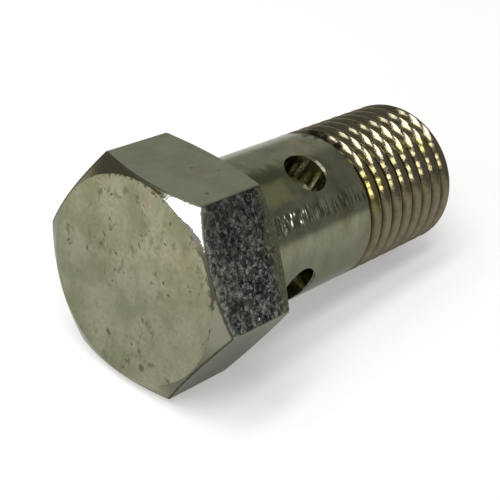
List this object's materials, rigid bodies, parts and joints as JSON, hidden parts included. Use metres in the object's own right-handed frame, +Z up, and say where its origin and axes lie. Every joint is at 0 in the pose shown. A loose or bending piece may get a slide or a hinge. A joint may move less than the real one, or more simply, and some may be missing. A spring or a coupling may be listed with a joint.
{
  "type": "banjo bolt",
  "caption": "Hexagon-headed hollow bolt with a blind axial bore and two cross drillings that carry fluid through a banjo eye.",
  "frame": {"origin": "centre of the base of the bounding box, on the surface that the bolt lies on", "axes": "+X along the bolt towards its thread end, +Z up. The bolt lies on one flat of its head and on its thread end, so its own axis dips 4.2 degrees below +X"},
  "size_m": [0.03, 0.0164, 0.0147],
  "materials": {
    "zinc_plated_steel": "zinc plate with a dull olive cast, fine pits and scratches"
  },
  "bodies": {
    "root": {"banjo_bolt": "zinc_plated_steel"}
  },
  "joints": []
}
